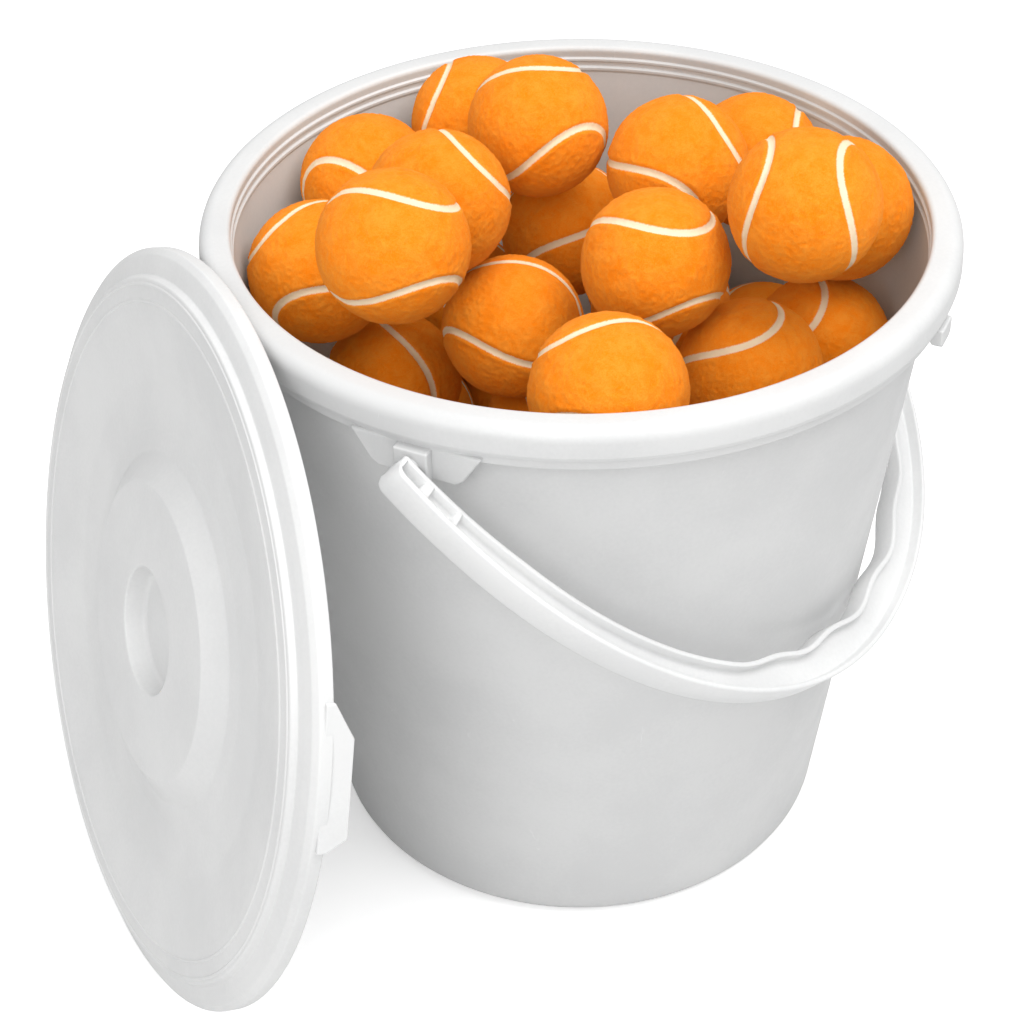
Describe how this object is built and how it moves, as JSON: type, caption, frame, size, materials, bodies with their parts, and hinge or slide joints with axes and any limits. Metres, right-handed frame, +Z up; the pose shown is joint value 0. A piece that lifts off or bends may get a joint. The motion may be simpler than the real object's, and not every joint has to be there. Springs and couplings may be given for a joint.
{
  "type": "lidded bucket of tennis balls",
  "caption": "Round plastic bucket with a swinging moulded handle and a leaning lid, heaped with felt-covered tennis balls.",
  "frame": {"origin": "centre of the bucket's base, on the floor", "axes": "+Z up the bucket's axis; -X towards the leaning lid; the handle's pivots are at azimuths -140 and 40 degrees about Z"},
  "size_m": [0.4359, 0.3468, 0.3844],
  "materials": {
    "white_plastic": "milky white moulded polypropylene, satin",
    "orange_felt": "napped orange felt",
    "rubber_core": "bare moulded rubber"
  },
  "bodies": {
    "bucket": {"bucket": "white_plastic", "ball_back_left_high": "orange_felt", "ball_back_left_low": "orange_felt", "ball_back_right": "orange_felt", "ball_back_right_low": "orange_felt", "ball_front_right": "orange_felt", "ball_layer1_middle1": "orange_felt", "ball_layer1_ring1": "orange_felt", "ball_layer1_ring2": "orange_felt", "ball_layer1_ring3": "orange_felt", "ball_layer1_ring4": "orange_felt", "ball_layer1_ring5": "orange_felt", "ball_layer1_ring6": "orange_felt", "ball_layer1_ring7": "orange_felt", "ball_layer2_middle1": "orange_felt", "ball_layer2_ring1": "orange_felt", "ball_layer2_ring2": "orange_felt", "ball_layer2_ring3": "orange_felt", "ball_layer2_ring4": "orange_felt", "ball_layer2_ring5": "orange_felt", "ball_layer2_ring6": "orange_felt", "ball_layer2_ring7": "orange_felt", "ball_layer2_ring8": "orange_felt", "ball_layer3_middle1": "orange_felt", "ball_layer3_middle2": "orange_felt", "ball_layer3_ring1": "orange_felt", "ball_layer3_ring2": "orange_felt", "ball_layer3_ring3": "orange_felt", "ball_layer3_ring4": "orange_felt", "ball_layer3_ring5": "orange_felt", "ball_layer3_ring6": "orange_felt", "ball_layer3_ring7": "orange_felt", "ball_layer3_ring8": "orange_felt", "ball_layer4_middle1": "orange_felt", "ball_layer4_middle2": "orange_felt", "ball_layer4_ring1": "orange_felt", "ball_layer4_ring2": "orange_felt", "ball_layer4_ring3": "orange_felt", "ball_layer4_ring4": "orange_felt", "ball_layer4_ring5": "orange_felt", "ball_layer4_ring6": "orange_felt", "ball_layer4_ring7": "orange_felt", "ball_left": "orange_felt", "ball_left_low": "orange_felt", "ball_middle_back": "orange_felt", "ball_middle_front": "orange_felt", "ball_middle_low": "orange_felt", "ball_right_back": "orange_felt", "ball_right_low": "orange_felt"},
    "handle": {"handle": "white_plastic"},
    "lid": {"lid": "white_plastic"},
    "ball_front": {"ball_front_core_lower": "rubber_core", "ball_front_core_upper": "rubber_core", "ball_front_felt_a": "orange_felt", "ball_front_felt_b": "orange_felt"},
    "ball_left_high": {"ball_left_high": "orange_felt"},
    "ball_right_high": {"ball_right_high": "orange_felt"},
    "ball_back": {"ball_back": "orange_felt"},
    "ball_left_back_high": {"ball_left_back_high": "orange_felt"}
  },
  "joints": [
    {"name": "handle_swing", "type": "hinge", "parent": "bucket", "child": "handle", "pos_m": [0, 0, 0.298], "axis": [-0.766, -0.6428, 0], "range_deg": [0, 190]},
    {"name": "lid_tip", "type": "hinge", "parent": "bucket", "child": "lid", "pos_m": [-0.25253, -0.0085, 0.00125], "axis": [0, -1, 0], "range_deg": [0, 79]},
    {"name": "ball_front_lift", "type": "slide", "parent": "bucket", "child": "ball_front", "axis": [0, 0, 1], "range_m": [0, 0.2]},
    {"name": "ball_left_high_lift", "type": "slide", "parent": "bucket", "child": "ball_left_high", "axis": [0, 0, 1], "range_m": [0, 0.2]},
    {"name": "ball_right_high_lift", "type": "slide", "parent": "bucket", "child": "ball_right_high", "axis": [0, 0, 1], "range_m": [0, 0.2]},
    {"name": "ball_back_lift", "type": "slide", "parent": "bucket", "child": "ball_back", "axis": [0, 0, 1], "range_m": [0, 0.2]},
    {"name": "ball_left_back_high_lift", "type": "slide", "parent": "bucket", "child": "ball_left_back_high", "axis": [0, 0, 1], "range_m": [0, 0.2]}
  ]
}
